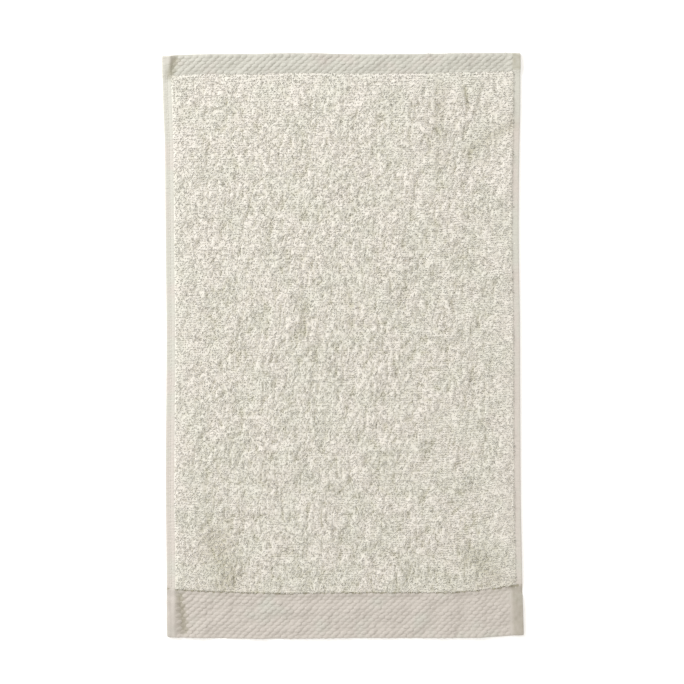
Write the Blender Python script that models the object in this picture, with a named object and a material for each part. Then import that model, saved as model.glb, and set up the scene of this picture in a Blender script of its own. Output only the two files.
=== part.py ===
"""A white cotton hand towel lying flat: one woven cloth, with looped pile between two flat end bands.

+X is towards the right-hand hem, +Y towards the narrow end band and +Z up. The towel rests on
z = 0, and the origin is the middle of its footprint.
"""

import math
from collections import namedtuple

import bmesh
import bpy
from mathutils import Vector, noise

MM = 0.001

# Heights of the upper face, measured from the surface that the towel lies on.
PILE_HEIGHT = 4.7 * MM
PILE_SHOULDER_HEIGHT = 3.7 * MM
BAND_HEIGHT = 2.0 * MM
HEM_CROWN_HEIGHT = 2.2 * MM
HEM_SEAM_HEIGHT = 1.5 * MM
EDGE_FOLD_HEIGHT = 1.1 * MM

# How the pile swells and dips: its loops lean together in clumps that are longer than wide.
CLUMP_WIDTH = 11 * MM
CLUMP_LENGTH = 24 * MM
CLUMP_RELIEF = 0.75 * MM
SWELL_SIZE = 75 * MM
SWELL_RELIEF = 0.35 * MM
NOISE_LEVEL = 3.7

# Hems: the cloth's edges turned under, up to the foot of the pile or of the ribs.
LEFT_HEM_WIDTH = 5.5 * MM
RIGHT_HEM_WIDTH = 4.0 * MM
RIGHT_HEM_WIDTH_AT_BANDS = 8.2 * MM
HEM_CROWN_SHARE = 0.45
PILE_SHOULDER_WIDTH = 1.4 * MM
END_FOLD_WIDTH = 1.2 * MM
CORNER_ROUND = 0.6 * MM

# Where the right-hand hem widens, on its way from the pile into each end band.
WIDE_BAND_FLARE = (-195 * MM, -212 * MM)
NARROW_BAND_FLARE = (222 * MM, 234 * MM)

# The slanted ribs of the end bands: each ridge and its furrow take two columns of the cloth.
RIB_COUNT = 48
RIB_RELIEF = 0.5 * MM
WIDE_BAND_ROWS = 14
NARROW_BAND_ROWS = 6

PILE_ROWS = 48
NOMINAL_LENGTH = 500 * MM

# The long edges' distances from the middle line, at stations along the towel.
SideStation = namedtuple("SideStation", "y left right")
SIDE_EDGES = [
    SideStation(-248 * MM, -149.8 * MM, 154.5 * MM),
    SideStation(-211 * MM, -150.3 * MM, 153.5 * MM),
    SideStation(-186 * MM, -150.4 * MM, 153.0 * MM),
    SideStation(-135 * MM, -151.1 * MM, 152.0 * MM),
    SideStation(-96 * MM, -151.2 * MM, 151.7 * MM),
    SideStation(-32 * MM, -150.6 * MM, 151.4 * MM),
    SideStation(19 * MM, -150.5 * MM, 151.2 * MM),
    SideStation(82 * MM, -151.2 * MM, 150.3 * MM),
    SideStation(121 * MM, -151.5 * MM, 150.2 * MM),
    SideStation(172 * MM, -152.0 * MM, 150.8 * MM),
    SideStation(197 * MM, -153.0 * MM, 151.4 * MM),
    SideStation(223 * MM, -153.8 * MM, 151.6 * MM),
    SideStation(248 * MM, -154.5 * MM, 151.6 * MM),
]

# The two ends' distances from the middle line and each band's depth, at stations across the towel.
EndStation = namedtuple("EndStation", "x bottom top wide_band narrow_band")
END_EDGES = [
    EndStation(-152 * MM, -248.8 * MM, 247.0 * MM, 41.0 * MM, 17.8 * MM),
    EndStation(-140 * MM, -249.0 * MM, 248.4 * MM, 40.6 * MM, 17.6 * MM),
    EndStation(-110 * MM, -249.6 * MM, 249.0 * MM, 39.2 * MM, 17.4 * MM),
    EndStation(-78 * MM, -250.0 * MM, 249.2 * MM, 38.4 * MM, 17.4 * MM),
    EndStation(-42 * MM, -250.0 * MM, 249.9 * MM, 38.3 * MM, 17.3 * MM),
    EndStation(0 * MM, -249.5 * MM, 249.3 * MM, 38.3 * MM, 17.1 * MM),
    EndStation(30 * MM, -249.4 * MM, 248.9 * MM, 38.2 * MM, 17.0 * MM),
    EndStation(80 * MM, -249.4 * MM, 249.5 * MM, 38.3 * MM, 16.8 * MM),
    EndStation(112 * MM, -249.3 * MM, 249.8 * MM, 39.6 * MM, 16.4 * MM),
    EndStation(132 * MM, -248.3 * MM, 250.0 * MM, 41.4 * MM, 16.0 * MM),
    EndStation(152 * MM, -246.7 * MM, 249.6 * MM, 43.0 * MM, 15.8 * MM),
]

# Soft troughs and ridges that the cloth keeps as it lies, in millimetres: each follows a line.
Crease = namedtuple("Crease", "start end half_width height")
CREASES = [
    Crease((-147.0, 222.0), (-137.0, 246.0), 5.5, -0.7),
    Crease((-145.0, -216.0), (-135.0, -244.0), 5.0, -0.6),
    Crease((144.0, -212.0), (144.5, -244.0), 3.5, 0.4),
    Crease((141.5, 233.0), (142.5, 247.0), 3.5, 0.35),
    Crease((84.0, 222.0), (80.0, 150.0), 7.0, -0.4),
    Crease((-32.0, 36.0), (-32.5, 8.0), 5.0, -0.7),
    Crease((6.0, 44.0), (6.5, 20.0), 5.0, -0.6),
]

COTTON_WHITE = (0.70, 0.67, 0.60, 1.0)
COTTON_ROUGHNESS = 0.9

# Columns run from the left-hand edge to the right-hand one, rows from the wide band's end.
HEM_COLUMNS = 3
FIRST_RIB = HEM_COLUMNS
LAST_RIB = FIRST_RIB + 2 * RIB_COUNT
COLUMNS = LAST_RIB + HEM_COLUMNS
PILE_FOOT_ROW = 1 + WIDE_BAND_ROWS
PILE_SHOULDER_ROW = PILE_FOOT_ROW + 1
FAR_SHOULDER_ROW = PILE_SHOULDER_ROW + PILE_ROWS
FAR_FOOT_ROW = FAR_SHOULDER_ROW + 1
LAST_BAND_ROW = FAR_FOOT_ROW + NARROW_BAND_ROWS
ROWS = LAST_BAND_ROW + 1


def station_value(stations, place, column):
    """The value in this column at a place between stations, on a smooth curve through the rows."""
    keys = [row[0] for row in stations]
    values = [getattr(row, column) for row in stations]
    last = len(keys) - 1
    place = min(max(place, keys[0]), keys[last])
    index = max(i for i in range(last) if keys[i] <= place)
    span = keys[index + 1] - keys[index]
    t = (place - keys[index]) / span

    def slope(i):
        before = max(i - 1, 0)
        after = min(i + 1, last)
        return (values[after] - values[before]) / (keys[after] - keys[before])

    leave = (2 * t**3 - 3 * t**2 + 1) * values[index]
    leave += (t**3 - 2 * t**2 + t) * span * slope(index)
    arrive = (3 * t**2 - 2 * t**3) * values[index + 1]
    arrive += (t**3 - t**2) * span * slope(index + 1)
    return leave + arrive


def smooth_step(start, end, value):
    t = min(max((value - start) / (end - start), 0.0), 1.0)
    return t * t * (3 - 2 * t)


def right_hem_width(y):
    """The right-hand hem shows wider beside the end bands than beside the pile, which leans over it."""
    flare = max(smooth_step(*WIDE_BAND_FLARE, y), smooth_step(*NARROW_BAND_FLARE, y))
    return RIGHT_HEM_WIDTH + (RIGHT_HEM_WIDTH_AT_BANDS - RIGHT_HEM_WIDTH) * flare


def hem_distance(step, hem_width):
    """How far a hem's fold, crown and seam and the shoulder beside it lie from the edge."""
    return (0.0, HEM_CROWN_SHARE * hem_width, hem_width, hem_width + PILE_SHOULDER_WIDTH)[step]


def column_x(column, y):
    """A column's place across the towel, at this distance along it."""
    left = station_value(SIDE_EDGES, y, "left")
    right = station_value(SIDE_EDGES, y, "right")
    if column < FIRST_RIB:
        return left + hem_distance(column, LEFT_HEM_WIDTH)
    if column > LAST_RIB:
        return right - hem_distance(COLUMNS - column, right_hem_width(y))
    first = left + hem_distance(HEM_COLUMNS, LEFT_HEM_WIDTH)
    last = right - hem_distance(HEM_COLUMNS, right_hem_width(y))
    return first + (last - first) * (column - FIRST_RIB) / (LAST_RIB - FIRST_RIB)


def row_y(row, x):
    """A row's place along the towel, at this distance across it."""
    bottom = station_value(END_EDGES, x, "bottom")
    top = station_value(END_EDGES, x, "top")
    wide = station_value(END_EDGES, x, "wide_band")
    narrow = station_value(END_EDGES, x, "narrow_band")
    if row == 0:
        return bottom
    if row == ROWS:
        return top
    if row <= PILE_FOOT_ROW:
        pitch = (wide - END_FOLD_WIDTH) / WIDE_BAND_ROWS
        return bottom + END_FOLD_WIDTH + pitch * (row - 1)
    if row >= FAR_FOOT_ROW:
        pitch = (narrow - END_FOLD_WIDTH) / NARROW_BAND_ROWS
        return top - END_FOLD_WIDTH - pitch * (LAST_BAND_ROW - row)
    first = bottom + wide + PILE_SHOULDER_WIDTH
    last = top - narrow - PILE_SHOULDER_WIDTH
    return first + (last - first) * (row - PILE_SHOULDER_ROW) / PILE_ROWS


def crossing(column, row):
    """Where a column and a row cross, which is found from each in turn."""
    y = NOMINAL_LENGTH * (row / ROWS - 0.5)
    for _ in range(3):
        x = column_x(column, y)
        y = row_y(row, x)
    if column in (0, COLUMNS) and row in (0, ROWS):
        x -= math.copysign(CORNER_ROUND, x)
        y -= math.copysign(CORNER_ROUND, y)
    return x, y


def crease_height(x, y):
    """What the creases add to the cloth's height at a point."""
    total = 0.0
    point = Vector((x, y)) / MM
    for crease in CREASES:
        start = Vector(crease.start)
        along = Vector(crease.end) - start
        t = min(max((point - start).dot(along) / along.length_squared, 0.0), 1.0)
        away = (point - start - t * along).length / crease.half_width
        total += crease.height * MM * math.exp(-away * away)
    return total


def pile_height(x, y):
    """The height of the loops' tips."""
    clump = noise.noise(Vector((x / CLUMP_WIDTH, y / CLUMP_LENGTH, NOISE_LEVEL)))
    swell = noise.noise(Vector((x / SWELL_SIZE, y / SWELL_SIZE, NOISE_LEVEL)))
    return PILE_HEIGHT + CLUMP_RELIEF * clump + SWELL_RELIEF * swell


def cloth_height(column, row, x, y):
    """The height of the cloth's upper face where a column and a row cross."""
    from_side = min(column, COLUMNS - column)
    if from_side == 0 or row in (0, ROWS):
        return EDGE_FOLD_HEIGHT
    if from_side >= HEM_COLUMNS and PILE_SHOULDER_ROW <= row <= FAR_SHOULDER_ROW:
        on_shoulder = column in (FIRST_RIB, LAST_RIB) or row in (PILE_SHOULDER_ROW, FAR_SHOULDER_ROW)
        drop = PILE_HEIGHT - PILE_SHOULDER_HEIGHT if on_shoulder else 0.0
        return pile_height(x, y) - drop + crease_height(x, y)
    if from_side == 1:
        return HEM_CROWN_HEIGHT
    if from_side == 2:
        return HEM_SEAM_HEIGHT
    in_furrow = (column - row) % 2 == 1 or row in (1, PILE_FOOT_ROW, FAR_FOOT_ROW, LAST_BAND_ROW)
    half_relief = RIB_RELIEF / 2
    return BAND_HEIGHT + crease_height(x, y) + (-half_relief if in_furrow else half_relief)


def flat_grid(columns, rows):
    """A unit grid, and its vertices by their column and row."""
    bm = bmesh.new()
    bmesh.ops.create_grid(bm, x_segments=columns, y_segments=rows, size=0.5)
    cells = {}
    for vert in bm.verts:
        column = round((vert.co.x + 0.5) * columns)
        row = round((vert.co.y + 0.5) * rows)
        cells[column, row] = vert
    return bm, cells


def split_along_ribs(cells):
    """Cuts each face of the bands from its lower left corner to its upper right one, as ribs run."""
    band_rows = [*range(PILE_FOOT_ROW), *range(FAR_FOOT_ROW, ROWS)]
    for row in band_rows:
        for column in range(FIRST_RIB, LAST_RIB):
            lower = cells[column, row]
            upper = cells[column + 1, row + 1]
            shared = set(lower.link_faces) & set(upper.link_faces)
            bmesh.utils.face_split(shared.pop(), lower, upper)


def thin_out_pile_columns(bm, cells):
    """Drops every other column of the pile, whose clumps are wider than the ribs."""
    extra = []
    for row in range(PILE_SHOULDER_ROW, FAR_SHOULDER_ROW):
        for column in range(FIRST_RIB + 1, LAST_RIB, 2):
            extra.append(bm.edges.get((cells[column, row], cells[column, row + 1])))
    bmesh.ops.dissolve_edges(bm, edges=extra, use_verts=True)


def lay_cloth(cells):
    """Moves each vertex into the towel's outline and up to its height."""
    for (column, row), vert in cells.items():
        if vert.is_valid:
            x, y = crossing(column, row)
            vert.co = (x, y, cloth_height(column, row, x, y))


def add_underside(bm):
    """Closes the cloth from its edges down to one flat face, which rests on the surface."""
    rim = [edge for edge in bm.edges if edge.is_boundary]
    walls = bmesh.ops.extrude_edge_only(bm, edges=rim)["geom"]
    for item in walls:
        if isinstance(item, bmesh.types.BMVert):
            item.co.z = 0.0
    foot = [edge for edge in bm.edges if edge.is_boundary]
    bmesh.ops.contextual_create(bm, geom=foot)
    bmesh.ops.recalc_face_normals(bm, faces=bm.faces)


def centre_footprint(bm):
    """Puts the origin in the middle of the towel's footprint."""
    xs = [vert.co.x for vert in bm.verts]
    ys = [vert.co.y for vert in bm.verts]
    middle = Vector((min(xs) + max(xs), min(ys) + max(ys), 0.0)) / 2
    bmesh.ops.translate(bm, verts=bm.verts, vec=-middle)


def cotton_material():
    material = bpy.data.materials.new("cotton_white")
    material.use_nodes = True
    surface = material.node_tree.nodes["Principled BSDF"]
    surface.inputs["Base Color"].default_value = COTTON_WHITE
    surface.inputs["Roughness"].default_value = COTTON_ROUGHNESS
    surface.inputs["Metallic"].default_value = 0.0
    return material


def make_towel(collection):
    """The one cloth, with its pile, end bands and hems."""
    bm, cells = flat_grid(COLUMNS, ROWS)
    split_along_ribs(cells)
    thin_out_pile_columns(bm, cells)
    lay_cloth(cells)
    add_underside(bm)
    centre_footprint(bm)
    mesh = bpy.data.meshes.new("towel")
    bm.to_mesh(mesh)
    bm.free()
    mesh.materials.append(cotton_material())
    collection.objects.link(bpy.data.objects.new("towel", mesh))


def clear_scene():
    for leftover in list(bpy.data.objects):
        bpy.data.objects.remove(leftover, do_unlink=True)


clear_scene()
hand_towel = bpy.data.collections.new("hand_towel")
bpy.context.scene.collection.children.link(hand_towel)
make_towel(hand_towel)
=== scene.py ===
"""A small off-white cotton hand towel, lying flat with its pile up, seen from straight above."""

import math

import bpy
import numpy as np
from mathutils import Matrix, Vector, noise


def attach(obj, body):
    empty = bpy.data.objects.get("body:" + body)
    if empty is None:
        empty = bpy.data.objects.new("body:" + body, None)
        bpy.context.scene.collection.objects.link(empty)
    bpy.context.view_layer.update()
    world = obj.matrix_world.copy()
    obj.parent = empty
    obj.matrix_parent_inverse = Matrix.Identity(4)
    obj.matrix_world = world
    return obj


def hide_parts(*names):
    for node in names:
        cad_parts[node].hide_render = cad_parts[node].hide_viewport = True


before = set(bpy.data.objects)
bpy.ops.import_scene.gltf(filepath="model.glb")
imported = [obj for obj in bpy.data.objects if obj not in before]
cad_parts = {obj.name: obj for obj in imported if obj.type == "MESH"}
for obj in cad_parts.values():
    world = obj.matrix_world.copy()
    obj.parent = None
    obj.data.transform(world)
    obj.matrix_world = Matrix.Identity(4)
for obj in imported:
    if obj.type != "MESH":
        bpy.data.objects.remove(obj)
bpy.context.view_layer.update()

MM = 0.001


# ---------------------------------------------------------------------------------------------
# The ground cloth. One length of cotton, woven flat at its two ends and plain under the loops
# between them. The side selvedges are turned under first and sewn, then the two ends are turned
# under over them, so the corners are four layers thick.

CLOTH = 0.75 * MM
FLAT_WIDTH = 303.0 * MM
FLAT_LENGTH = 498.4 * MM
SIDE_TURN = 8.5 * MM
WIDE_END_TURN = 30.0 * MM
NARROW_END_TURN = 17.0 * MM
WIDE_BAND = 38.3 * MM
NARROW_BAND = 17.2 * MM
HALF_WIDTH = FLAT_WIDTH / 2
HALF_LENGTH = FLAT_LENGTH / 2
# along the flat cloth, where the wide band gives way to the pile, and the pile to the narrow band
PILE_START = WIDE_BAND - HALF_LENGTH
PILE_END = HALF_LENGTH - NARROW_BAND

# where the bands end, measured in from the towel's ends: x, wide band, narrow band
BAND_DEPTHS = np.array([
    (-152, 41.0, 17.8), (-110, 39.2, 17.4), (-60, 38.3, 17.4), (40, 38.2, 17.0),
    (85, 38.3, 16.8), (112, 39.6, 16.4), (132, 41.4, 16.0), (152, 43.0, 15.8),
]) * MM

RIM_LEVEL = 0.01 * MM          # the solid's points below this are the edge of its footprint
RIM_CORNER_X = 149.5 * MM
RIM_CORNER_Y = 245.5 * MM
rim = np.array([v.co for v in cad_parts["towel"].data.vertices if v.co.z < RIM_LEVEL])
side_rim = rim[abs(rim[:, 1]) < RIM_CORNER_Y]
end_rim = rim[abs(rim[:, 0]) < RIM_CORNER_X]


def rim_table(points, along):
    """One edge of the towel's footprint, as two rows: places along it, and how far out it lies."""
    points = points[np.argsort(points[:, along])]
    return points[:, along], points[:, 1 - along]


left_rim = rim_table(side_rim[side_rim[:, 0] < 0], 1)
right_rim = rim_table(side_rim[side_rim[:, 0] > 0], 1)
bottom_rim = rim_table(end_rim[end_rim[:, 1] < 0], 0)
top_rim = rim_table(end_rim[end_rim[:, 1] > 0], 0)


def on_table(across, along):
    """Takes places on the evenly woven cloth to the towel's own slightly crooked footprint."""
    x, y = across * 1.0, along * 1.0
    for _ in range(3):
        left, right = np.interp(y, *left_rim), np.interp(y, *right_rim)
        x = (left + right) / 2 + across / HALF_WIDTH * (right - left) / 2
        bottom, top = np.interp(x, *bottom_rim), np.interp(x, *top_rim)
        wide = np.interp(x, BAND_DEPTHS[:, 0], BAND_DEPTHS[:, 1])
        narrow = np.interp(x, BAND_DEPTHS[:, 0], BAND_DEPTHS[:, 2])
        y = bottom + wide * np.clip((along + HALF_LENGTH) / WIDE_BAND, 0, 1)
        y += (top - narrow - bottom - wide) * np.clip((along - PILE_START) / (PILE_END - PILE_START), 0, 1)
        y += narrow * np.clip((along - PILE_END) / NARROW_BAND, 0, 1)
    return x, y


def ease(value, start, end):
    """0 before start, 1 after end, and a soft step between them."""
    share = np.clip((value - start) / (end - start), 0, 1)
    return share * share * (3 - 2 * share)


def fold(inset, height, radius):
    """Turns the cloth under along an edge. inset is how far in from the fold line a point of the flat
    cloth is, below zero on the allowance, and height is how far it lies above the cloth's middle."""
    quarter = math.pi / 2 * radius
    turn = np.clip((quarter - inset) / radius, 0, math.pi)
    run = np.maximum(inset - quarter, 0) + np.maximum(-inset - quarter, 0)
    return CLOTH / 2 + radius + run - (radius + height) * np.sin(turn), (radius + height) * np.cos(turn) - radius


# how tightly each fold bends, and how high the cloth lies over the loops beneath and in the bands
SIDE_FOLD_IN_PILE = 0.70 * MM
SIDE_FOLD_IN_BAND = 0.45 * MM
END_FOLD = 0.60 * MM
END_FOLD_AT_CORNER = 1.35 * MM
PILE_GROUND = 2.3 * MM
LOOSE_BAND = 1.35 * MM

# soft creases: start x, y, end x, y, half width, height
CREASES = np.array([
    (-147.0, 231, -143, 244, 5.0, -1.2), (-138.5, -213, -135, -243, 4.5, -1.2),
    (-149, -216, -146, -244, 3.5, 0.4), (144, -212, 144.5, -244, 3.5, 0.3),
    (141.5, 233, 142.5, 247, 3.5, 0.3), (84, 222, 80, 150, 7.0, -0.4),
    (-32, 36, -32.5, 8, 5.0, -0.6), (6, 44, 6.5, 20, 5.0, -0.5),
    (104, 220, 106.5, 205, 1.8, -1.2), (144, 188, 110, 168, 8.0, -0.6),
    (-108, -165, -98, -198, 18.0, -0.7), (112, -180, 128, -196, 18.0, -0.6),
]) * MM


def crease_height(x, y):
    """The soft troughs and ridges that the cloth keeps from being folded and washed."""
    total = np.zeros_like(x)
    for start_x, start_y, end_x, end_y, half_width, height in CREASES:
        run_x, run_y = end_x - start_x, end_y - start_y
        share = np.clip(((x - start_x) * run_x + (y - start_y) * run_y) / (run_x ** 2 + run_y ** 2), 0, 1)
        away = np.hypot(x - start_x - share * run_x, y - start_y - share * run_y)
        total += height * np.exp(-(away / half_width) ** 2 * 2)
    return total


def crease_shade(x, y):
    """How much painted shade the cloth takes down in its deep creases, from 0 to 1."""
    return np.clip(-crease_height(x, y) / (1 * MM), 0, 1)


def in_band(along):
    """1 in the flat-woven ends, 0 under the loops."""
    past_wide = ease(along, PILE_START - 4 * MM, PILE_START + 2 * MM)
    past_pile = ease(along, PILE_END - 2 * MM, PILE_END + 3 * MM)
    return 1 - past_wide * (1 - past_pile)


def end_fold_radius(side_inset):
    past_hem = ease(side_inset, SIDE_TURN - 3 * MM, SIDE_TURN + 4 * MM)
    return END_FOLD + (END_FOLD_AT_CORNER - END_FOLD) * (1 - past_hem)


def side_fold_radius(along):
    return SIDE_FOLD_IN_PILE + (SIDE_FOLD_IN_BAND - SIDE_FOLD_IN_PILE) * in_band(along)


def lie(across, along):
    """How high the middle of the top layer lies: on the layers turned under it, or on the loops beneath."""
    side_inset = HALF_WIDTH - abs(across)
    bottom_inset, top_inset = along + HALF_LENGTH, HALF_LENGTH - along
    band = in_band(along)
    side_hem = 1 - ease(side_inset, SIDE_TURN - 2 * MM, SIDE_TURN + 3 * MM)
    end_hem = np.maximum(1 - ease(bottom_inset, WIDE_END_TURN - 1 * MM, WIDE_END_TURN + 3 * MM),
                         1 - ease(top_inset, NARROW_END_TURN - 1 * MM, NARROW_END_TURN + 3 * MM))
    open_cloth = PILE_GROUND + (LOOSE_BAND - PILE_GROUND) * band
    sides = CLOTH / 2 + 2 * side_fold_radius(along)
    ends = CLOTH / 2 + 2 * end_fold_radius(side_inset)
    height = open_cloth + (sides - open_cloth) * side_hem
    return height + (ends - height) * end_hem


PILE_INSET_LEFT = 8.2 * MM
PILE_INSET_RIGHT = 6.6 * MM
PILE_GAP = 1.3 * MM            # bare ground between the wide band and the first loops
BED_DEPTH = 1.2 * MM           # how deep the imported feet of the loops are
CLUMP_RELIEF = 1.2 * MM
CRUMB_RELIEF = 0.8 * MM
FOLD_RELIEF = 1.8 * MM
PARTING_DEPTH = 2.8 * MM
SLIT = 0.12                    # how narrow the slits are, as a share of the noise that they follow


def drift(x, y, width, length, level):
    """Smooth noise over the towel, stretched to width by length; each level is a pattern of its own."""
    return np.array([noise.noise(Vector((u, v, level))) for u, v in zip(x / width, y / length)])


def in_pile(across, along):
    """1 where loops stand, 0 on the hems and the bands. Its edges beside the bands waver a little."""
    inside = ease(across, PILE_INSET_LEFT - HALF_WIDTH - 1 * MM, PILE_INSET_LEFT - HALF_WIDTH + 1 * MM)
    inside *= ease(-across, PILE_INSET_RIGHT - HALF_WIDTH - 1 * MM, PILE_INSET_RIGHT - HALF_WIDTH + 1 * MM)
    along = along + 1.4 * MM * drift(across, along, 3.5 * MM, 12 * MM, 4.4)
    inside *= ease(along, PILE_START + 0.4 * MM, PILE_START + 1.8 * MM)
    return inside * ease(-along, -PILE_END, -PILE_END + 2 * MM)


def roughness(x, y):
    """How strongly washing has drawn the pile into clumps: most in the middle and at the lower left."""
    return 0.70 + 0.30 * np.exp(-((x + 40 * MM) ** 2 + (y + 90 * MM) ** 2) / (140 * MM) ** 2)


def partings(x, y):
    """How deep a place lies in a slit up the towel, a slit across it or a pit, from 0 to 1."""
    upright = np.exp(-(drift(x + 0.12 * y, y, 5.0 * MM, 11 * MM, 1.3) / SLIT) ** 2)
    upright *= 0.3 + 0.7 * ease(drift(x, y, 7 * MM, 10 * MM, 8.2), -0.15, 0.2)
    level = np.exp(-(drift(x, y - 0.2 * x, 5 * MM, 3.2 * MM, 4.1) / SLIT) ** 2)
    level *= 0.3 + 0.7 * ease(drift(x, y, 6 * MM, 7 * MM, 2.6), -0.1, 0.25)
    pit = ease(drift(x, y, 2.3 * MM, 2.8 * MM, 5.1), 0.26, 0.54)
    worked = 0.4 + 0.6 * ease(HALF_WIDTH - abs(x), 10 * MM, 40 * MM) * ease(HALF_LENGTH - y, 22 * MM, 50 * MM)
    return worked * np.maximum(np.maximum(upright, 0.6 * level), 0.5 * pit)


def pile_bed(across, along, x, y):
    """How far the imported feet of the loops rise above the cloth, in clumps with partings between them."""
    rough = roughness(x, y)
    folded = 1.3 * rough + 0.35 * ease(x, -80 * MM, 80 * MM) - 0.65
    clumps = CLUMP_RELIEF * drift(x - 0.05 * y, y, 3.6 * MM, 6.0 * MM, 2.2) * rough
    clumps += FOLD_RELIEF * drift(x - 0.2 * y, y, 12 * MM, 19 * MM, 5.5) * folded
    crumbs = CRUMB_RELIEF * (abs(drift(x, y, 3.0 * MM, 3.0 * MM, 7.7)) - 0.2)
    bed = BED_DEPTH + clumps + crumbs - PARTING_DEPTH * partings(x, y)
    bed *= 0.5 + 0.5 * ease(along, PILE_START, PILE_START + 12 * MM)
    return in_pile(across, along) * np.maximum(bed, 0.05 * MM)


# how far the seams and the groove beside the wide band are from the edges, and how the right-hand
# hem of the wide band slopes down
LEFT_SEAM = 3.9 * MM
RIGHT_SEAM = 5.7 * MM
WIDE_SEAM = WIDE_END_TURN - 1.0 * MM
GROOVE = WIDE_BAND + 0.6 * MM
HEM_DROOP = 1.4 * MM
DROOP_WIDTH = 9.0 * MM


def ridge(inset, centre, half_width, rise):
    """A soft ridge at one distance from an edge, or a trough where rise is below zero."""
    return rise * np.exp(-((inset - centre) / half_width) ** 2)


def sewn(across, along):
    """How the seams draw the hems down, and the ridges that the turned edges raise beside them."""
    left, right = HALF_WIDTH + across, HALF_WIDTH - across
    low_end, high_end = HALF_LENGTH + along, HALF_LENGTH - along
    level = ridge(left, LEFT_SEAM, 1.1 * MM, -0.28 * MM)
    level += ridge(left, 6.9 * MM, 1.2 * MM, 0.30 * MM)
    level += ridge(right, RIGHT_SEAM, 1.1 * MM, -0.2 * MM) * (1 - in_band(along))
    level -= HEM_DROOP * (1 - np.clip(right / DROOP_WIDTH, 0, 1)) * (
        1 - ease(low_end, WIDE_BAND - 8 * MM, WIDE_BAND + 5 * MM))
    level += ridge(right, 10.0 * MM, 1.2 * MM, 0.15 * MM) * (1 - ease(low_end, WIDE_BAND - 2 * MM, WIDE_BAND))
    level += ridge(low_end, WIDE_SEAM, 1.0 * MM, -0.16 * MM)
    level += ridge(low_end, GROOVE, 0.5 * MM, -0.35 * MM)
    return level + ridge(high_end, NARROW_BAND, 0.8 * MM, -0.05 * MM)


def lay(across, along, height):
    """Folds and lays points of the flat cloth on the table, and returns their x, y and z."""
    side, sense = np.abs(across), np.where(across < 0, -1.0, 1.0)
    side_inset, layer = fold(HALF_WIDTH - side, height, side_fold_radius(along))
    end, way = np.abs(along), np.where(along < 0, -1.0, 1.0)
    end_inset, layer = fold(HALF_LENGTH - end, layer, end_fold_radius(side_inset))
    across, along = sense * (HALF_WIDTH - side_inset), way * (HALF_LENGTH - end_inset)
    x, y = on_table(across, along)
    z = lie(across, along) + layer + sewn(across, along) + crease_height(x, y)
    swells = 1.7 * MM * drift(x, y, 16 * MM, 11 * MM, 6.1) + 0.4 * MM * drift(x, y, 4 * MM, 4 * MM, 2.1)
    z += 0.25 * MM * drift(x, y, 75 * MM, 75 * MM, 3.7) + swells * in_band(along)
    # the bed lies on the upper face alone, and not on what is turned under
    top = np.where(height > 0, 1.0, 0.0) * ((side > HALF_WIDTH) + (end > HALF_LENGTH) == 0)
    return x, y, np.maximum(z + top * pile_bed(across, along, x, y), 0.0)


# the cells of the mesh: small on the hems and where the wide band meets the pile
FOLD_REACH = 1.1 * MM
END_FOLD_REACH = 2.2 * MM
HEM_CELL = 0.8 * MM
EDGE_ZONE = 14 * MM
EDGE_CELL = 2.0 * MM
WIDE_CELL = 1.5 * MM
MEETING_CELL = 0.4 * MM
NARROW_CELL = 1.0 * MM
FIELD_CELL = 2.5 * MM
TURNED_COLUMN = 2.5 * MM
TURNED_ROW = 3.0 * MM
UNDER_SKIP = 12                # the hidden layers have one column for every 12 of the upper face
MIDDLE_COLUMNS = 16 * UNDER_SKIP + 1


def steps(start, end, pitch):
    """Places from start to end, about pitch apart."""
    return np.linspace(start, end, max(2, round(abs(end - start) / pitch) + 1))


hem_edge = -HALF_WIDTH + SIDE_TURN
hem_columns = np.concatenate([steps(-HALF_WIDTH + FOLD_REACH, hem_edge, HEM_CELL),
                              steps(hem_edge, hem_edge + EDGE_ZONE, EDGE_CELL)[1:]])
turned_columns = steps(-HALF_WIDTH - SIDE_TURN, -HALF_WIDTH - FOLD_REACH, TURNED_COLUMN)
fold_columns = np.linspace(-HALF_WIDTH - FOLD_REACH, -HALF_WIDTH + FOLD_REACH, 8)[1:-1]
edge_columns = np.concatenate([turned_columns, fold_columns, hem_columns[:-1]])
middle_columns = np.linspace(hem_columns[-1], -hem_columns[-1], MIDDLE_COLUMNS)

meeting = PILE_START - 0.5 * MM
wide_rows = np.concatenate([steps(-HALF_LENGTH + END_FOLD_REACH, meeting, WIDE_CELL),
                            steps(meeting, PILE_START + 2.0 * MM, MEETING_CELL)[1:]])
narrow_rows = steps(PILE_END, HALF_LENGTH - END_FOLD_REACH, NARROW_CELL)
field_rows = steps(wide_rows[-1], narrow_rows[0], FIELD_CELL)[1:-1]
wide_fold_rows = np.linspace(-HALF_LENGTH - END_FOLD_REACH, -HALF_LENGTH + END_FOLD_REACH, 9)[:-1]
narrow_fold_rows = -wide_fold_rows[::-1]
wide_turned_rows = steps(-HALF_LENGTH - WIDE_END_TURN, -HALF_LENGTH - END_FOLD_REACH, TURNED_ROW)[:-1]
narrow_turned_rows = steps(HALF_LENGTH + END_FOLD_REACH, HALF_LENGTH + NARROW_END_TURN, TURNED_ROW)[1:]


def cloth_rows(upper):
    """One face of the cloth as rows: place along the towel, columns skipped, and places across it."""
    open_skip = 1 if upper else UNDER_SKIP
    rows = []
    for places, skip in ((wide_turned_rows, UNDER_SKIP), (wide_fold_rows, open_skip), (wide_rows, open_skip),
                         (field_rows, open_skip), (narrow_rows, open_skip), (narrow_fold_rows, open_skip),
                         (narrow_turned_rows, UNDER_SKIP)):
        across = np.concatenate([edge_columns, middle_columns[::skip], -edge_columns[::-1]])
        rows += [(along, skip, across) for along in places]
    return rows


def flat_places(rows):
    """Where every point of one face is on the flat cloth, across and along it, row after row."""
    across = np.concatenate([places for _, _, places in rows])
    return across, np.concatenate([np.full(len(places), along) for along, _, places in rows])


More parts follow.
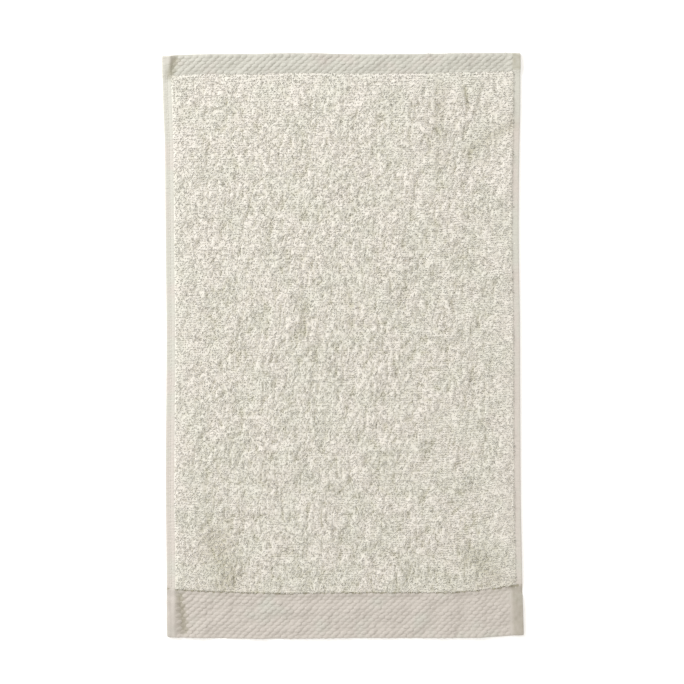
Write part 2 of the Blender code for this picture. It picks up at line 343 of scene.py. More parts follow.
def face_points(rows, height):
    """x, y and z of every point of one face, once the cloth is folded and laid."""
    across, along = flat_places(rows)
    return np.stack(lay(across, along, np.full(len(across), height)), 1)


def face_polygons(rows, first, upper):
    """Polygons between the rows. Where rows with different columns meet, one spans each wider cell."""
    polygons = []
    starts = first + np.cumsum([0] + [len(r[2]) for r in rows])
    edge = len(edge_columns)
    for (low, here), (high, then) in zip(zip(starts, rows), zip(starts[1:], rows[1:])):
        for c in range(edge):
            polygons.append([low + c, low + c + 1, high + c + 1, high + c])
            low_end, high_end = low + len(here[2]) - 1 - c, high + len(then[2]) - 1 - c
            polygons.append([low_end - 1, low_end, high_end, high_end - 1])
        skip = max(here[1], then[1])
        below, above = skip // here[1], skip // then[1]
        for c in range((len(middle_columns) - 1) // skip):
            lower = [low + edge + c * below + i for i in range(below + 1)]
            higher = [high + edge + c * above + i for i in range(above + 1)]
            polygons.append(lower + higher[::-1])
    return polygons if upper else [p[::-1] for p in polygons]


upper_rows = cloth_rows(True)
lower_rows = cloth_rows(False)
upper_points = face_points(upper_rows, CLOTH / 2)
lower_points = face_points(lower_rows, -CLOTH / 2)
polygons = face_polygons(upper_rows, 0, True) + face_polygons(lower_rows, len(upper_points), False)


def outline(rows, first):
    """The raw edge of one face, as point numbers in order round the cloth."""
    starts = first + np.cumsum([0] + [len(r[2]) for r in rows])
    counts = [len(r[2]) for r in rows]
    bottom = list(range(starts[0], starts[0] + counts[0]))
    right = [starts[i] + counts[i] - 1 for i in range(1, len(rows))]
    top = list(range(starts[-2] + counts[-1] - 2, starts[-2] - 1, -1))
    left = [starts[i] for i in range(len(rows) - 2, 0, -1)]
    return bottom + right + top + left


upper_edge, lower_edge = outline(upper_rows, 0), outline(lower_rows, len(upper_points))
for here in range(len(upper_edge)):
    then = (here + 1) % len(upper_edge)
    polygons.append([upper_edge[here], lower_edge[here], lower_edge[then], upper_edge[then]])


def new_piece(name, points, faces, edges=()):
    """A mesh object of that name, put in the scene."""
    mesh = bpy.data.meshes.new(name)
    mesh.from_pydata([tuple(p) for p in points], list(edges), [[int(i) for i in f] for f in faces])
    mesh.validate()
    piece = bpy.data.objects.new(name, mesh)
    bpy.context.scene.collection.objects.link(piece)
    return piece


def add_node(tree, kind, inputs=None, **settings):
    """A node with its settings, and its inputs either linked or given a value."""
    made = tree.nodes.new(kind)
    for name, value in settings.items():
        setattr(made, name, value)
    for key, value in (inputs or {}).items():
        socket = made.inputs[key] if isinstance(key, int) else next(
            s for s in made.inputs if s.name == key and s.enabled)
        if isinstance(value, bpy.types.NodeSocket):
            tree.links.new(value, socket)
        else:
            socket.default_value = value
    return made


def maths(tree, kind, first, second=None):
    """One Math node, such as ADD, on one or two values."""
    inputs = {0: first} if second is None else {0: first, 1: second}
    return add_node(tree, "ShaderNodeMath", inputs, operation=kind).outputs[0]


def vector_maths(tree, kind, first, second):
    """One Vector Math node. For SCALE the second value is a number."""
    key = "Scale" if kind == "SCALE" else 1
    made = add_node(tree, "ShaderNodeVectorMath", {0: first, key: second}, operation=kind)
    return made.outputs["Value" if kind == "DOT_PRODUCT" else 0]


PATCHES_PER_METRE = 38.0
TICKS_PER_METRE = 600.0


def cotton(name, pale, shade, painted_shade_colour, yarn, bump, glow, painted_warm_light):
    """Undyed cotton: off-white, drifting between a greener and a pinker tone in patches of a centimetre
    or two, with a darker colour painted down in its partings and creases as painted shade; matt, with a
    soft sheen. yarn is the width of its threads, bump how far they stand out, glow how far light goes into
    it, and the last argument how much pinker it is painted towards the wide band, as painted warm light."""
    material = bpy.data.materials.new(name)
    material.use_nodes = True
    tree = material.node_tree
    surface = tree.nodes["Principled BSDF"]
    place = add_node(tree, "ShaderNodeTexCoord").outputs["Object"]

    patches = add_node(tree, "ShaderNodeTexNoise", {
        "Vector": place, "Scale": PATCHES_PER_METRE, "Detail": 2.0})
    # painted warm light: the tone is painted pinker towards the wide band and greener towards the narrow one
    along = add_node(tree, "ShaderNodeSeparateXYZ", {0: place}).outputs["Y"]
    patch = maths(tree, "SUBTRACT", patches.outputs["Fac"], maths(tree, "MULTIPLY", along, painted_warm_light))
    tones = add_node(tree, "ShaderNodeValToRGB", {"Fac": patch})
    for stop, position, colour in zip(tones.color_ramp.elements, (0.38, 0.60), (shade, pale)):
        stop.position = position
        stop.color = (*colour, 1)
    # painted shade: the darker colour is mixed in as far as the points carry painted shade, in partings, creases,
    # beside the wide band and on the right-hand hem
    painted_shade_factor = add_node(tree, "ShaderNodeAttribute", attribute_name="painted_shade").outputs["Fac"]
    painted_shade_factor = add_node(tree, "ShaderNodeMapRange", {
        "Value": painted_shade_factor, "To Min": 0.0, "To Max": 0.75}).outputs["Result"]
    with_painted_shade = add_node(tree, "ShaderNodeMix", {
        "Factor": painted_shade_factor, "A": tones.outputs["Color"], "B": (*painted_shade_colour, 1)}, data_type="RGBA").outputs[2]

    # the threads' own flecks, and the paler selvedge with the fine ticks of its weft
    flecks = add_node(tree, "ShaderNodeTexNoise", {
        "Vector": place, "Scale": 1 / yarn, "Detail": 3.0, "Roughness": 0.6}).outputs["Fac"]
    fleck_tone = add_node(tree, "ShaderNodeMapRange", {
        "Value": flecks, "From Min": 0.3, "From Max": 0.7, "To Min": 0.93, "To Max": 1.05}).outputs["Result"]
    pale_hem = add_node(tree, "ShaderNodeAttribute", attribute_name="selvedge").outputs["Fac"]
    tone = maths(tree, "ADD", fleck_tone, maths(tree, "MULTIPLY", pale_hem, 0.12))
    across_hem = vector_maths(tree, "MULTIPLY", place, (0.25, 1.0, 1.0))
    ticks = add_node(tree, "ShaderNodeTexNoise", {
        "Vector": across_hem, "Scale": TICKS_PER_METRE, "Detail": 1.0}).outputs["Fac"]
    tick_height = maths(tree, "MULTIPLY", ticks, maths(tree, "MULTIPLY", pale_hem, 4.0))
    raised = add_node(tree, "ShaderNodeBump", {
        "Height": maths(tree, "ADD", flecks, tick_height), "Strength": bump, "Distance": yarn * 0.5})

    tree.links.new(vector_maths(tree, "MULTIPLY", with_painted_shade, tone), surface.inputs["Base Color"])
    tree.links.new(raised.outputs["Normal"], surface.inputs["Normal"])
    surface.inputs["Roughness"].default_value = 0.92
    surface.inputs["Specular IOR Level"].default_value = 0.2
    surface.inputs["Sheen Weight"].default_value = 0.25
    surface.inputs["Sheen Roughness"].default_value = 0.6
    surface.inputs["Subsurface Weight"].default_value = glow
    surface.inputs["Subsurface Radius"].default_value = (1.0, 1.0, 1.0)
    surface.inputs["Subsurface Scale"].default_value = 0.8 * MM
    return material


# each cotton's third colour is the painted shade for its partings and creases; the woven cotton is also painted
# pinker towards the wide band, as painted warm light
woven_cotton = cotton(
    "woven_cotton", pale=(0.625, 0.583, 0.54), shade=(0.605, 0.60, 0.545), painted_shade_colour=(0.27, 0.25, 0.16),
    yarn=0.7 * MM, bump=0.5, glow=0.0, painted_warm_light=0.55)
pile_cotton = cotton(
    "pile_cotton", pale=(0.880, 0.846, 0.788), shade=(0.840, 0.826, 0.754), painted_shade_colour=(0.44, 0.42, 0.28),
    yarn=0.8 * MM, bump=0.28, glow=0.2, painted_warm_light=0.0)

PILE_SHARE = 0.4               # a cell with more of it under loops than this is pile cotton


def in_wide_band(along):
    return 1 - ease(along + HALF_LENGTH, WIDE_BAND - 1 * MM, WIDE_BAND + 1 * MM)


def painted_shade_share(across, along, x, y):
    """How much painted shade each place takes: in the partings and the deep creases, as a broken line of
    painted shadow where the pile meets the wide band, under the floats, and on the right-hand hem of the
    bands, which slopes away from the light."""
    right = HALF_WIDTH - across
    painted_shade_amount = 0.5 * partings(x, y) * in_pile(across, along)
    # painted shadow: a broken dark line in the groove where the edge of the pile shades the wide band
    painted_shadow_dashes = ease(drift(across, along, 2.6 * MM, 9 * MM, 0.6), -0.25, 0.1)
    painted_shade_amount += painted_shadow_dashes * ridge(along + HALF_LENGTH, GROOVE, 0.8 * MM, 2.2)
    # painted shade on the ground cloth under the floats
    shade_under_floats = ease(HALF_WIDTH + across, 7 * MM, 9 * MM) * ease(right, 9 * MM, 10 * MM)
    shade_under_floats *= (along < PILE_START - 1 * MM) | (along > PILE_END + 1 * MM)
    painted_shade_amount += 0.1 * shade_under_floats * ease(HALF_LENGTH - abs(along), 1 * MM, 2.5 * MM)
    # painted shade on the right-hand hem of the bands, which slopes away from the light; it varies a little from
    # place to place
    painted_shade_right_hem = (0.45 + 0.25 * drift(across, along, 2.5 * MM, 3 * MM, 1.9)) * (across > 0)
    painted_shade_amount += painted_shade_right_hem * (1 - ease(right, 8 * MM, 9.5 * MM)) * in_wide_band(along)
    in_narrow_band = ease(along, PILE_END, PILE_END + 2 * MM)
    painted_shade_amount += painted_shade_right_hem * (1 - ease(right, 6 * MM, 8 * MM)) * in_narrow_band
    # and painted shade down the deep creases
    return painted_shade_amount + 0.7 * crease_shade(x, y)


def selvedge_share(across, along):
    """How far each place is on a selvedge that shows beside the pile or the narrow band."""
    hem = 1 - ease(HALF_WIDTH - abs(across), 7 * MM, 9 * MM)
    return hem * (1 - in_wide_band(along)) * np.where(across < 0, 1.0, 0.85)


def give(mesh, key, values):
    """Keeps a number or a vector under that name for every point of the mesh."""
    values = np.asarray(values, np.float32)
    kind, field = ("FLOAT", "value") if values.ndim == 1 else ("FLOAT_VECTOR", "vector")
    mesh.attributes.new(key, kind, "POINT").data.foreach_set(field, values.ravel())


ground_cloth = new_piece("ground_cloth", np.concatenate([upper_points, lower_points]), polygons)
ground_cloth.data.materials.append(woven_cotton)
ground_cloth.data.materials.append(pile_cotton)
flat_across, flat_along = flat_places(upper_rows)
not_seen = np.zeros(len(lower_points))
# painted shade on the upper face, in partings, creases, beside the wide band and on the right-hand hem; the lower
# face takes none
painted_shade_amount = painted_shade_share(flat_across, flat_along, upper_points[:, 0], upper_points[:, 1])
give(ground_cloth.data, "painted_shade", np.concatenate([painted_shade_amount, not_seen]))
give(ground_cloth.data, "selvedge", np.concatenate([selvedge_share(flat_across, flat_along), not_seen]))
under_loops = np.concatenate([in_pile(flat_across, flat_along), not_seen])
for polygon in ground_cloth.data.polygons:
    polygon.material_index = int(np.mean(under_loops[polygon.vertices]) > PILE_SHARE)
ground_cloth.data.shade_smooth()
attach(ground_cloth, "root")
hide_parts("towel")


# ---------------------------------------------------------------------------------------------
# The raised weave of the two bands. Thick cotton floats, each the shape of a grain of rice, lie on
# the ground cloth in rows; every row is half a float over, so that they line up into slanted ribs.

FLOAT_PITCH = 5.96 * MM
FLOAT_ROW = 2.68 * MM
FLOAT_LENGTH = 6.2 * MM
FLOAT_WIDTH = 4.4 * MM
FLOAT_HEIGHT = 1.0 * MM
FLOAT_SUNK = 0.5 * MM
FLOAT_SLANT = math.radians(12)
FLOAT_ROLL = -0.12
WEAVE_SEED = 71
SLOPE_REACH = 0.4 * MM
STEEPEST = 0.8


def grown(name, points, tree, values, rows=None, edges=()):
    """A plain mesh of what the Geometry Nodes tree makes on those points, which carry the rows of values."""
    carrier = new_piece(name, points, [], edges)
    for key, column in (rows or {}).items():
        give(carrier.data, key, column)
    modifier = carrier.modifiers.new("growth", "NODES")
    modifier.node_group = tree
    for item in tree.interface.items_tree:
        if item.in_out == "INPUT" and item.name in values:
            modifier[item.identifier] = values[item.name]
    made = bpy.data.meshes.new_from_object(carrier.evaluated_get(bpy.context.evaluated_depsgraph_get()))
    carrier.modifiers.clear()
    bare = carrier.data
    carrier.data = made
    bpy.data.meshes.remove(bare)
    made.name = name
    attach(carrier, "root")
    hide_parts("towel")
    return carrier


def slope_of(across, along, height):
    """How steeply the cloth, with the pile's bed on it, climbs across and along the towel at each place."""
    level = lay(across, along, height)[2]
    climb_across = (lay(across + SLOPE_REACH, along, height)[2] - level) / SLOPE_REACH
    climb_along = (lay(across, along + SLOPE_REACH, height)[2] - level) / SLOPE_REACH
    return np.clip(np.stack([climb_across, climb_along, 0 * level], 1), -STEEPEST, STEEPEST)


def begin_tree(name, start, sizes, counts, cover, result):
    """A Geometry Nodes tree with named inputs for its start, its sizes, its counts and its material."""
    tree = bpy.data.node_groups.new(name, "GeometryNodeTree")
    tree.is_modifier = True
    for kind, labels in (("Geometry", [start]), ("Float", sizes), ("Int", counts), ("Material", [cover])):
        for label in labels:
            tree.interface.new_socket(label, in_out="INPUT", socket_type="NodeSocket" + kind)
    tree.interface.new_socket(result, in_out="OUTPUT", socket_type="NodeSocketGeometry")
    return tree, add_node(tree, "NodeGroupInput").outputs


def end_tree(tree, shape, cover, result, used=()):
    """Takes off the values that the tree has used, smooths the real mesh and gives it its material."""
    for name in used:
        shape = add_node(tree, "GeometryNodeRemoveAttribute", {
            "Geometry": shape, "Name": name}).outputs["Geometry"]
    smooth = add_node(tree, "GeometryNodeSetShadeSmooth", {"Geometry": shape}).outputs["Geometry"]
    finished = add_node(tree, "GeometryNodeSetMaterial", {"Geometry": smooth, "Material": cover})
    add_node(tree, "NodeGroupOutput", {result: finished.outputs["Geometry"]})
    return tree


def vector_of(tree, x=0.0, y=0.0, z=0.0):
    return add_node(tree, "ShaderNodeCombineXYZ", {0: x, 1: y, 2: z}).outputs[0]


def where_now(tree):
    return add_node(tree, "GeometryNodeInputPosition").outputs["Position"]


def carried(tree, name, kind="FLOAT_VECTOR"):
    """The value of that name that the points carry."""
    return add_node(tree, "GeometryNodeInputNamedAttribute", {"Name": name}, data_type=kind).outputs[0]


def chance(tree, seed, draw, low, high):
    """A number between low and high for each point; each draw has its own."""
    return add_node(tree, "FunctionNodeRandomValue", {
        "Min": low, "Max": high, "Seed": maths(tree, "ADD", seed, draw)}).outputs[1]


def mark_roots(tree, points):
    """Has each point remember where it stands."""
    return add_node(tree, "GeometryNodeStoreNamedAttribute", {
        "Geometry": points, "Name": "root", "Value": where_now(tree)},
        data_type="FLOAT_VECTOR", domain="POINT").outputs["Geometry"]


def keep_on_table(tree, shape):
    """Nothing reaches through the surface that the towel lies on."""
    above = vector_maths(tree, "MAXIMUM", where_now(tree), (-9.0, -9.0, 0.0))
    return add_node(tree, "GeometryNodeSetPosition", {"Geometry": shape, "Position": above}).outputs["Geometry"]


def weave_tree():
    """Geometry Nodes that lay one float on every point, along the slope of the cloth."""
    tree, given = begin_tree(
        "raised_weave", "Crossings", ("Float length", "Float width", "Float height", "Slant", "Roll"),
        ("Seed",), "Cotton", "Floats")

    def some(draw, low, high):
        return chance(tree, given["Seed"], draw, low, high)

    grain = add_node(tree, "GeometryNodeMeshUVSphere", {"Segments": 8, "Rings": 6, "Radius": 0.5})
    grain = add_node(tree, "GeometryNodeTransform", {
        "Geometry": grain.outputs["Mesh"], "Rotation": (0.0, math.pi / 2, 0.0)})
    scale = vector_of(tree, maths(tree, "MULTIPLY", given["Float length"], some(2, 0.92, 1.08)),
                      maths(tree, "MULTIPLY", given["Float width"], some(3, 0.9, 1.1)),
                      maths(tree, "MULTIPLY", given["Float height"], some(4, 1.6, 2.4)))
    rotation = vector_of(tree, maths(tree, "ADD", given["Roll"], some(5, -0.1, 0.1)), some(6, -0.05, 0.05),
                         maths(tree, "ADD", given["Slant"], some(1, -0.14, 0.14)))
    floats = add_node(tree, "GeometryNodeInstanceOnPoints", {
        "Points": mark_roots(tree, given["Crossings"]), "Instance": grain.outputs["Geometry"],
        "Rotation": rotation, "Scale": scale})
    real = add_node(tree, "GeometryNodeRealizeInstances", {"Geometry": floats.outputs["Instances"]})
    spread = vector_maths(tree, "SUBTRACT", where_now(tree), carried(tree, "root"))
    climb = vector_maths(tree, "DOT_PRODUCT", carried(tree, "slope"), spread)
    lying = add_node(tree, "GeometryNodeSetPosition", {
        "Geometry": real.outputs["Geometry"], "Offset": vector_of(tree, z=climb)}).outputs["Geometry"]
    return end_tree(tree, keep_on_table(tree, lying), given["Cotton"], "Floats", used=("root", "slope"))


raised_weave = weave_tree()
float_columns = np.arange(-HALF_WIDTH + 4 * MM, HALF_WIDTH - 6 * MM, FLOAT_PITCH)
# each band's rows, and how far in from the left and the right edge its floats start
bands = {
    "ribs_wide_end": (-HALF_LENGTH + 2.1 * MM + np.arange(14) * FLOAT_ROW, 8.5 * MM, 10.0 * MM),
    "ribs_narrow_end": (HALF_LENGTH - 2.2 * MM - np.arange(6) * FLOAT_ROW, 9.0 * MM, 8.0 * MM),
}
for index, (name, (rows, left_inset, right_inset)) in enumerate(bands.items()):
    along, across = np.meshgrid(rows, float_columns, indexing="ij")
    shift = (np.round(along / FLOAT_ROW).astype(int) % 2) * FLOAT_PITCH / 2
    along, across = along.ravel(), (across + shift).ravel()
    inside = (across > left_inset - HALF_WIDTH) & (across < HALF_WIDTH - right_inset)
    along, across = along[inside], across[inside]
    surface = np.full(len(across), CLOTH / 2)
    x, y, z = lay(across, along, surface)
    # the floats take painted shade down the deep creases
    grown(name, np.stack([x, y, z - FLOAT_SUNK], 1), raised_weave, {
        "Float length": FLOAT_LENGTH, "Float width": FLOAT_WIDTH, "Float height": FLOAT_HEIGHT,
        "Slant": FLOAT_SLANT, "Roll": FLOAT_ROLL, "Seed": WEAVE_SEED + index, "Cotton": woven_cotton,
    }, {"slope": slope_of(across, along, surface), "painted_shade": 0.6 * crease_shade(x, y)})


# ---------------------------------------------------------------------------------------------
# The pile. Loops of soft cotton yarn that the ground cloth holds, in rows across the towel on both
# its faces; washing has laid them over and drawn their tips into clumps with partings between them.

LOOP_ROW = 1.94 * MM
LOOP_PITCH = 1.24 * MM
LOOP_HEIGHT = 0.9 * MM
LOOP_WIDTH = 1.7 * MM
YARN_RADIUS = 0.50 * MM
LOOP_STATIONS = 4
STRIPS = 5
PILE_SEED = 11
UNDER_PITCH = 2.85 * MM
UNDER_HEIGHT = 1.5 * MM
UNDER_WIDTH = 3.4 * MM
UNDER_RADIUS = 1.0 * MM
UNDER_STATIONS = 3
UNDER_SEED = 31
CLUMP_WIDTH = 10 * MM
ROOT_JITTER = (0.4 * MM, 0.55 * MM, 0.1 * MM)
FOOT_DEPTH = 0.3 * MM
FLARE = 1.15                   # how far a loop bows out past its feet, as a share of its width
REACH = 1.22                   # and how far it is drawn up, as a share of its height
TWIST = 0.3 * MM


def yarn_arch(tree, wide, tall, radius, stations):
    """An arch of yarn along X with closed, tapered feet."""
    half, flare = maths(tree, "MULTIPLY", wide, 0.5), maths(tree, "MULTIPLY", wide, FLARE)
    reach = maths(tree, "MULTIPLY", tall, REACH)
    arch = add_node(tree, "GeometryNodeCurvePrimitiveBezierSegment", {
        "Resolution": 16, "Start": vector_of(tree, maths(tree, "MULTIPLY", half, -1.0), 0.0, -FOOT_DEPTH),
        "Start Handle": vector_of(tree, maths(tree, "MULTIPLY", flare, -1.0), -TWIST, reach),
        "End Handle": vector_of(tree, flare, TWIST, reach), "End": vector_of(tree, half, 0.0, -FOOT_DEPTH)})
    arch = add_node(tree, "GeometryNodeResampleCurve", {"Curve": arch.outputs["Curve"], "Count": stations})
    factor = add_node(tree, "GeometryNodeSplineParameter").outputs["Factor"]
    hump = maths(tree, "MULTIPLY", factor, maths(tree, "SUBTRACT", 1.0, factor))
    taper = maths(tree, "POWER", maths(tree, "MULTIPLY", hump, 4.0), 0.5)
    section = add_node(tree, "GeometryNodeCurvePrimitiveCircle", {"Resolution": 3, "Radius": radius})
    tube = add_node(tree, "GeometryNodeCurveToMesh", {
        "Curve": arch.outputs["Curve"], "Profile Curve": section.outputs["Curve"], "Scale": taper})
    closed = add_node(tree, "GeometryNodeMergeByDistance", {
        "Geometry": tube.outputs["Mesh"], "Distance": 0.01 * MM})
    return closed.outputs["Geometry"]


def pile_tree():
    """Geometry Nodes that grow one loop on every point and comb the tips into clumps."""
    tree, given = begin_tree(
        "terry_loops", "Roots", ("Loop height", "Loop width", "Yarn radius", "Clump width", "Tilt"),
        ("Stations", "Seed"), "Cotton", "Loops")
    tall, seed = given["Loop height"], given["Seed"]

    def some(draw, low, high):
        return chance(tree, seed, draw, low, high)

    def combined(kind, first, second):
        return vector_maths(tree, kind, first, second)

    def waver(place, size, detail, amount):
        cloud = add_node(tree, "ShaderNodeTexNoise", {"Vector": place, "Scale": 1 / size, "Detail": detail})
        return combined("MULTIPLY", combined("SUBTRACT", cloud.outputs["Color"], (0.5, 0.5, 0.5)), amount)

    # the roots, a little out of line, each with its own turn, lean and size
    loop = yarn_arch(tree, given["Loop width"], tall, given["Yarn radius"], given["Stations"])
    jitter = add_node(tree, "FunctionNodeRandomValue", {
        "Min": tuple(-v for v in ROOT_JITTER), "Max": ROOT_JITTER,
        "Seed": maths(tree, "ADD", seed, 1)}, data_type="FLOAT_VECTOR").outputs[0]
    roots = add_node(tree, "GeometryNodeSetPosition", {"Geometry": given["Roots"], "Offset": jitter})
    tilt = maths(tree, "ADD", given["Tilt"], some(4, -0.3, 0.3))
    turn = maths(tree, "ADD", carried(tree, "facing", "FLOAT"), some(2, -0.6, 0.6))
    size = some(3, 0.8, 1.2)
    rise = maths(tree, "MULTIPLY", carried(tree, "loft", "FLOAT"), some(6, 0.17, 0.27))
    loops = add_node(tree, "GeometryNodeInstanceOnPoints", {
        "Points": mark_roots(tree, roots.outputs["Geometry"]), "Instance": loop,
        "Rotation": vector_of(tree, tilt, some(5, -0.2, 0.2), turn), "Scale": vector_of(tree, size, size, rise)})
    real = add_node(tree, "GeometryNodeRealizeInstances", {"Geometry": loops.outputs["Instances"]})

    # the tips are drawn together into clumps that are twice as long as they are wide
    root = carried(tree, "root")
    here = where_now(tree)
    spread = combined("SUBTRACT", here, root)
    lift = add_node(tree, "ShaderNodeSeparateXYZ", {0: spread}).outputs["Z"]
    share = add_node(tree, "ShaderNodeMapRange", {
        "Value": maths(tree, "ABSOLUTE", lift), "From Min": 0.0, "From Max": tall}).outputs["Result"]
    cells = add_node(tree, "ShaderNodeTexVoronoi", {
        "Vector": combined("MULTIPLY", root, (1.0, 0.5, 0.0)),
        "Scale": maths(tree, "DIVIDE", 1.0, given["Clump width"]), "Randomness": 1.0})
    centre = combined("MULTIPLY", cells.outputs["Position"], (1.0, 2.0, 0.0))
    inward = combined("SUBTRACT", centre, combined("MULTIPLY", root, (1.0, 1.0, 0.0)))
    grip = add_node(tree, "ShaderNodeTexNoise", {
        "Vector": root, "Scale": 1 / (24 * MM), "Detail": 1.0}).outputs["Fac"]
    grip = add_node(tree, "ShaderNodeMapRange", {
        "Value": grip, "From Min": 0.4, "From Max": 0.65, "To Min": 0.0, "To Max": 0.07}).outputs["Result"]

    # each loop leans with its clump, its neighbours and the slope that it stands on
    moved = combined("ADD", combined("SCALE", inward, grip), carried(tree, "splay"))
    moved = combined("ADD", moved, waver(root, 3.5 * MM, 1.0, (3.0 * MM, 3.0 * MM, 0.4 * MM)))
    moved = combined("SCALE", moved, share)
    moved = combined("ADD", moved, waver(here, 1.8 * MM, 0.0, (0.7 * MM, 0.7 * MM, 0.3 * MM)))
    climb = combined("DOT_PRODUCT", carried(tree, "slope"), spread)
    moved = combined("ADD", moved, vector_of(tree, z=climb))
    combed = add_node(tree, "GeometryNodeSetPosition", {
        "Geometry": real.outputs["Geometry"], "Offset": moved}).outputs["Geometry"]
    return end_tree(tree, keep_on_table(tree, combed), given["Cotton"], "Loops",
                    used=("root", "splay", "slope", "facing", "loft"))


loop_rows = steps(PILE_START + PILE_GAP, PILE_END - 0.6 * MM, LOOP_ROW)
loop_columns = steps(-HALF_WIDTH + PILE_INSET_LEFT, HALF_WIDTH - PILE_INSET_RIGHT, LOOP_PITCH)
terry_loops = pile_tree()
for strip, rows in enumerate(np.array_split(loop_rows, STRIPS)):
    along, across = np.meshgrid(rows, loop_columns, indexing="ij")
    along, across = along.ravel(), (across + (np.arange(len(rows)) % 2)[:, None] * LOOP_PITCH / 2).ravel()
    surface = np.full(len(across), CLOTH / 2)
    x, y, z = lay(across, along, surface)
    at_right = 1 - ease(HALF_WIDTH - across, PILE_INSET_RIGHT, PILE_INSET_RIGHT + 5 * MM)
    at_narrow_end = 1 - ease(HALF_LENGTH - along, NARROW_BAND, NARROW_BAND + 4 * MM)
    splay = np.stack([(1.0 * MM + 4.0 * MM * drift(x, y, 5 * MM, 4 * MM, 9.5)) * at_right,
                      0.8 * MM * at_narrow_end, np.zeros(len(x))], 1)
    facing = 0.65 - 0.60 * ease(x, 20 * MM, 90 * MM) + 1.2 * drift(x, y, 9 * MM, 9 * MM, 3.3)
    loft = 0.66 + 0.44 * ease(x / 2 - y, -250 * MM, 250 * MM)
    loft *= 1.35 - 0.35 * ease(x, -140 * MM, -90 * MM)
    # the loops take painted shade in the partings between clumps and down the deep creases
    grown(f"pile_{strip + 1}", np.stack([x, y, z], 1), terry_loops, {
        "Loop height": LOOP_HEIGHT, "Loop width": LOOP_WIDTH, "Yarn radius": YARN_RADIUS,
        "Clump width": CLUMP_WIDTH, "Tilt": 0.0, "Stations": LOOP_STATIONS, "Seed": PILE_SEED + strip,
        "Cotton": pile_cotton,
    }, {"splay": splay, "slope": slope_of(across, along, surface), "facing": facing, "loft": loft,
        "painted_shade": 0.95 * partings(x, y) + 0.15 * crease_shade(x, y)})

# the loops of the lower face hang down, pressed by the towel's weight
under_rows = steps(PILE_START + 2 * MM, PILE_END - 2 * MM, UNDER_PITCH)
under_columns = steps(-HALF_WIDTH + SIDE_TURN + 2 * MM, HALF_WIDTH - SIDE_TURN - 2 * MM, UNDER_PITCH)
along, across = (v.ravel() for v in np.meshgrid(under_rows, under_columns, indexing="ij"))
x, y, z = lay(across, along, np.full(len(across), -CLOTH / 2))
level_row, plain_row = np.zeros((len(x), 3)), np.zeros(len(x))
grown("pile_under", np.stack([x, y, z], 1), terry_loops, {
    "Loop height": UNDER_HEIGHT, "Loop width": UNDER_WIDTH, "Yarn radius": UNDER_RADIUS,
    "Clump width": CLUMP_WIDTH, "Tilt": math.pi, "Stations": UNDER_STATIONS, "Seed": UNDER_SEED,
    "Cotton": pile_cotton,
}, {"splay": level_row, "slope": level_row, "painted_shade": plain_row, "facing": plain_row, "loft": plain_row + 1})


# ---------------------------------------------------------------------------------------------
# The sewing. Cotton thread in lockstitch holds the hems down, one row along each side and each
# end; every stitch sinks into the cloth at both its ends.

STITCH_PITCH = 2.9 * MM
STITCH_LENGTH = 2.5 * MM
STITCH_RISE = 0.30 * MM
STITCH_STATIONS = 5
THREAD_RADIUS = 0.24 * MM
THREAD_SUNK = 0.4 * MM
LOWEST_STITCH = 0.75 * MM
SEAM_SEED = 51

thread_cotton = cotton(
    "thread_cotton", pale=(0.92, 0.90, 0.84), shade=(0.88, 0.87, 0.81), painted_shade_colour=(0.88, 0.87, 0.81),
    yarn=0.3 * MM, bump=0.3, glow=0.0, painted_warm_light=0.0)


def seam_tree():
    """Geometry Nodes that lay one row of stitches along a line of points."""
    tree, given = begin_tree(
        "lockstitch", "Seam", ("Stitch pitch", "Stitch length", "Stitch rise", "Thread radius"),
        ("Seed",), "Thread", "Stitches")
    line = add_node(tree, "GeometryNodeMeshToCurve", {"Mesh": given["Seam"]})
    places = add_node(tree, "GeometryNodeCurveToPoints", {
        "Curve": line.outputs["Curve"], "Length": given["Stitch pitch"]}, mode="LENGTH")
    heading = add_node(tree, "FunctionNodeAlignRotationToVector", {"Vector": places.outputs["Tangent"]}, axis="X")
    askew = add_node(tree, "FunctionNodeRandomValue", {
        "Min": (0.0, 0.0, -0.15), "Max": (0.0, 0.0, 0.15), "Seed": given["Seed"]},
        data_type="FLOAT_VECTOR").outputs[0]
    turned = add_node(tree, "FunctionNodeRotateRotation", {
        "Rotation": heading.outputs["Rotation"], "Rotate By": askew}, rotation_space="LOCAL")
    stitch = yarn_arch(tree, given["Stitch length"], given["Stitch rise"], given["Thread radius"], STITCH_STATIONS)
    row = add_node(tree, "GeometryNodeInstanceOnPoints", {
        "Points": places.outputs["Points"], "Instance": stitch, "Rotation": turned.outputs["Rotation"]})
    real = add_node(tree, "GeometryNodeRealizeInstances", {"Geometry": row.outputs["Instances"]})
    return end_tree(tree, real.outputs["Geometry"], given["Thread"], "Stitches")


lockstitch = seam_tree()
up_the_side = steps(-HALF_LENGTH + 1.5 * MM, HALF_LENGTH - 1.5 * MM, 2 * MM)
over_the_end = steps(-HALF_WIDTH + 1.5 * MM, HALF_WIDTH - 1.5 * MM, 2 * MM)
seams = {
    "stitches_left": (np.full(len(up_the_side), LEFT_SEAM - HALF_WIDTH), up_the_side),
    "stitches_right": (np.full(len(up_the_side), HALF_WIDTH - RIGHT_SEAM), up_the_side),
    "stitches_wide_end": (over_the_end, np.full(len(over_the_end), WIDE_SEAM - HALF_LENGTH)),
    "stitches_narrow_end": (over_the_end, np.full(len(over_the_end), PILE_END)),
}
for index, (name, (across, along)) in enumerate(seams.items()):
    x, y, z = lay(across, along, np.full(len(across), CLOTH / 2))
    z = np.maximum(z - THREAD_SUNK * in_band(along), LOWEST_STITCH)
    line = [(i, i + 1) for i in range(len(x) - 1)]
    grown(name, np.stack([x, y, z], 1), lockstitch, {
        "Stitch pitch": STITCH_PITCH, "Stitch length": STITCH_LENGTH, "Stitch rise": STITCH_RISE,
        "Thread radius": THREAD_RADIUS, "Seed": SEAM_SEED + index, "Thread": thread_cotton}, edges=line)


# ---------------------------------------------------------------------------------------------
# The table and the light: a plain white top, one soft light low at the upper left and a pale
# room round it, with the camera straight above.

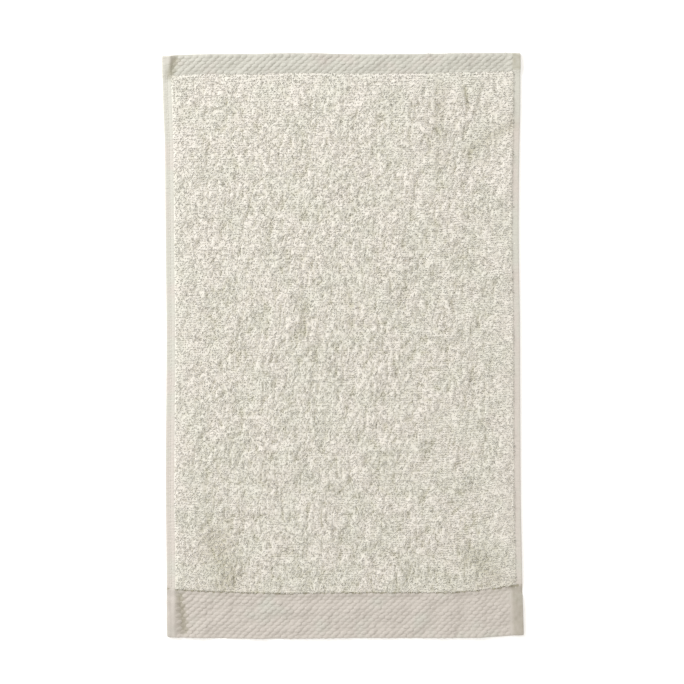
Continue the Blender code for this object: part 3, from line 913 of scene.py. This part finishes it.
TABLE_REACH = 3.0
TABLE_WHITE = (0.93, 0.93, 0.93, 1)
TABLE_GLOW = 0.25              # lifts the table to the plain white of the photo
KEY_PLACE = (-1.41, 1.18, 1.12)
KEY_SIZE = 1.1
KEY_POWER = 26.8
KEY_COLOUR = (0.985, 0.99, 1.0)
ROOM_COLOUR = (1.0, 0.97, 0.92, 1)
ROOM_STRENGTH = 0.80
LENS = 85.0
SENSOR = 36.0
VIEW_WIDTH = 582.4 * MM
VIEW_CENTRE = (-0.64 * MM, 3.26 * MM)
FOCUS_HEIGHT = 4 * MM

corners = [(-TABLE_REACH, -TABLE_REACH, 0), (TABLE_REACH, -TABLE_REACH, 0),
           (TABLE_REACH, TABLE_REACH, 0), (-TABLE_REACH, TABLE_REACH, 0)]
table = new_piece("table", corners, [(0, 1, 2, 3)])
white = bpy.data.materials.new("white_table")
white.use_nodes = True
top = white.node_tree.nodes["Principled BSDF"]
top.inputs["Base Color"].default_value = TABLE_WHITE
top.inputs["Roughness"].default_value = 0.9
top.inputs["Emission Color"].default_value = (1, 1, 1, 1)
top.inputs["Emission Strength"].default_value = TABLE_GLOW
table.data.materials.append(white)

key_light = bpy.data.lights.new("key_light", "AREA")
key_light.shape, key_light.size = "SQUARE", KEY_SIZE
key_light.energy, key_light.color = KEY_POWER, KEY_COLOUR
lamp = bpy.data.objects.new("key_light", key_light)
lamp.location = KEY_PLACE
lamp.rotation_euler = (-Vector(KEY_PLACE)).to_track_quat("-Z", "Y").to_euler()
bpy.context.scene.collection.objects.link(lamp)

world = bpy.data.worlds.new("pale_room")
world.use_nodes = True
world.node_tree.nodes["Background"].inputs["Color"].default_value = ROOM_COLOUR
world.node_tree.nodes["Background"].inputs["Strength"].default_value = ROOM_STRENGTH
bpy.context.scene.world = world

camera_data = bpy.data.cameras.new("camera")
camera_data.lens, camera_data.sensor_width = LENS, SENSOR
camera = bpy.data.objects.new("camera", camera_data)
camera.location = (*VIEW_CENTRE, FOCUS_HEIGHT + VIEW_WIDTH * LENS / SENSOR)
bpy.context.scene.collection.objects.link(camera)
bpy.context.scene.camera = camera
bpy.context.scene.view_settings.view_transform = "Standard"
